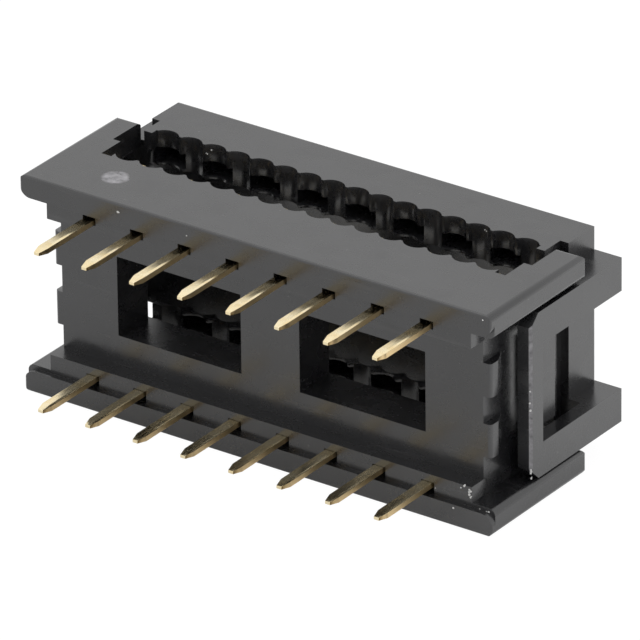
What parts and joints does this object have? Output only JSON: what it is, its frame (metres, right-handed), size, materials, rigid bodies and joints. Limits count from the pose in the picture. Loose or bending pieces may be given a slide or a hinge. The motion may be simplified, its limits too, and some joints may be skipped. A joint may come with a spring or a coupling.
{
  "type": "insulation displacement connector",
  "caption": "Insulation displacement connector that joins a flat ribbon cable to a circuit board, with forked pin contacts and a press-on latching cover standing open",
  "frame": {"origin": "centre of the pin field, in the plane of the housing's board faces", "axes": "+X along the pin rows, -Y out of the board side along the pins, +Y towards the cover, +Z across the rows; the part lies on its long side"},
  "size_m": [0.0248, 0.0135, 0.0106],
  "materials": {
    "housing_plastic": "semi-gloss black moulding",
    "cover_plastic": "semi-gloss black moulding",
    "contact_gold": "bright gold plate"
  },
  "bodies": {
    "housing": {"housing": "housing_plastic", "contact_upper_1": "contact_gold", "contact_upper_2": "contact_gold", "contact_upper_3": "contact_gold", "contact_upper_4": "contact_gold", "contact_upper_5": "contact_gold", "contact_upper_6": "contact_gold", "contact_upper_7": "contact_gold", "contact_upper_8": "contact_gold", "contact_lower_1": "contact_gold", "contact_lower_2": "contact_gold", "contact_lower_3": "contact_gold", "contact_lower_4": "contact_gold", "contact_lower_5": "contact_gold", "contact_lower_6": "contact_gold", "contact_lower_7": "contact_gold", "contact_lower_8": "contact_gold"},
    "cover": {"cover": "cover_plastic"}
  },
  "joints": [
    {"name": "cover_press", "type": "slide", "parent": "housing", "child": "cover", "axis": [0, -1, 0], "range_m": [0, 0.0028]}
  ]
}
